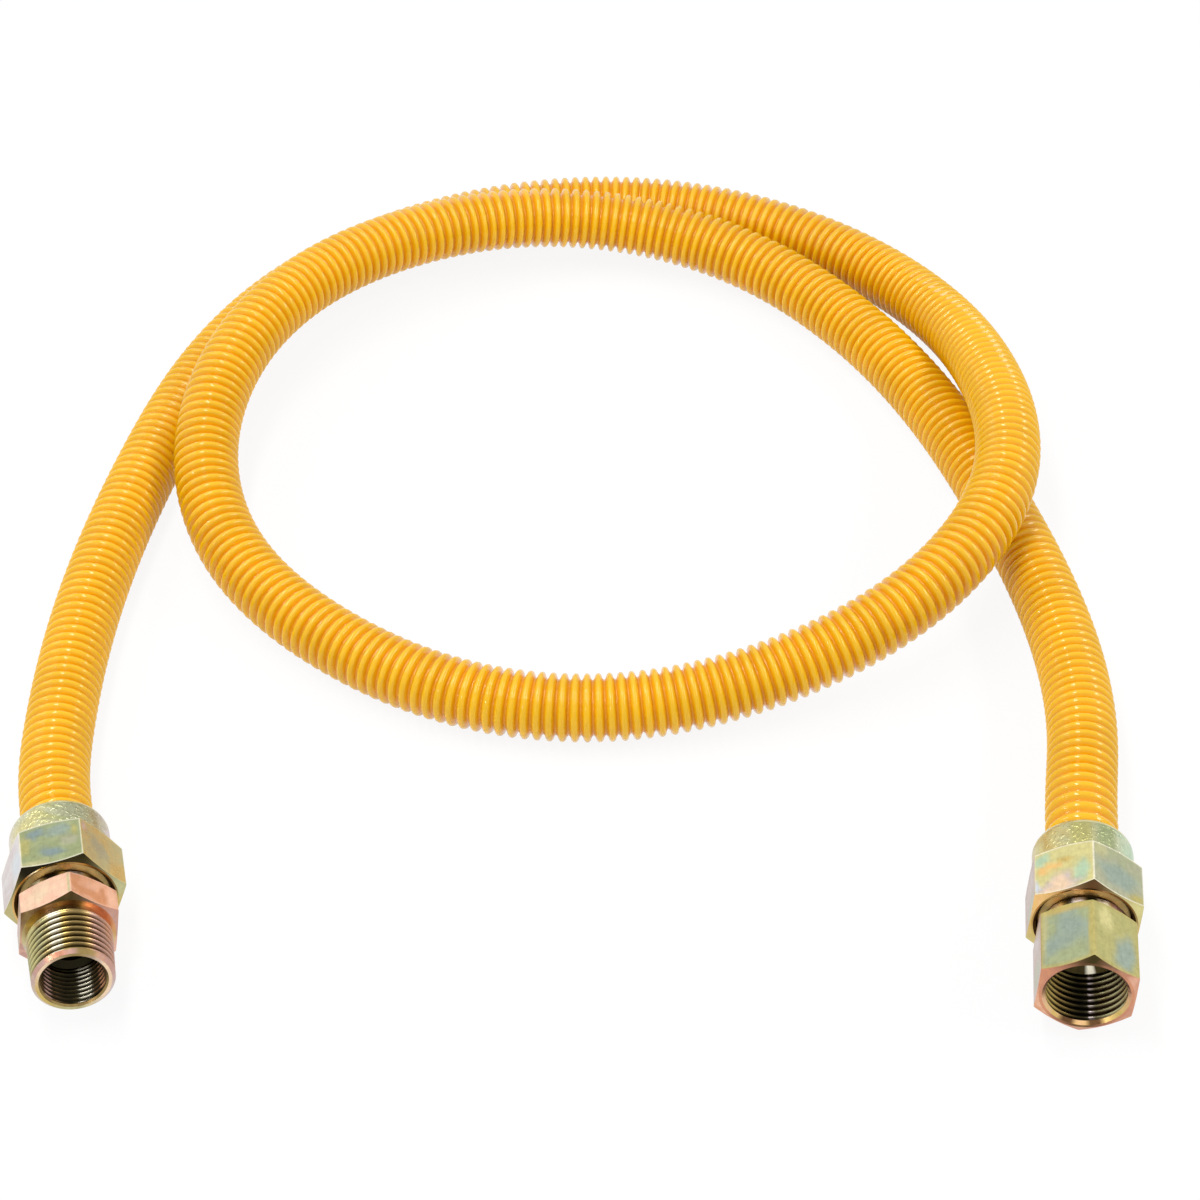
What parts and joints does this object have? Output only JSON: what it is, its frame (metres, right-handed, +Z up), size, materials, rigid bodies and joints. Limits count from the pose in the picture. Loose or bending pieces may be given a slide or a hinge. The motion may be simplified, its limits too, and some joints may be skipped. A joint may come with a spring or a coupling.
{
  "type": "coated corrugated stainless steel gas hose",
  "caption": "Flexible corrugated stainless steel gas hose in a yellow coating, lying in a loose loop, with a male pipe thread fitting on its left end and a female one on its right end.",
  "frame": {"origin": "on the floor, under the middle of the whole hose's box", "axes": "+Y runs from the two fittings towards the far side of the loop, +X from the male end towards the female end, +Z up from the floor that the hose lies on"},
  "size_m": [0.291, 0.3489, 0.0386],
  "materials": {
    "coating": "glossy yellow plastic coating, moulded over the rings",
    "steel": "bright bare stainless steel",
    "nut_plating": "steel with yellow passivated zinc plating, pale green and silver with faint blue and pink patches",
    "male_adapter_plating": "steel with yellow passivated zinc plating, salmon pink on the hexagon and bronze on the thread",
    "female_adapter_plating": "steel with yellow passivated zinc plating, green gold with pink edges"
  },
  "bodies": {
    "root": {"coating": "coating", "steel_tube": "steel", "male_flare_nut": "nut_plating", "male_adapter": "male_adapter_plating", "female_flare_nut": "nut_plating", "female_adapter": "female_adapter_plating"}
  },
  "joints": []
}
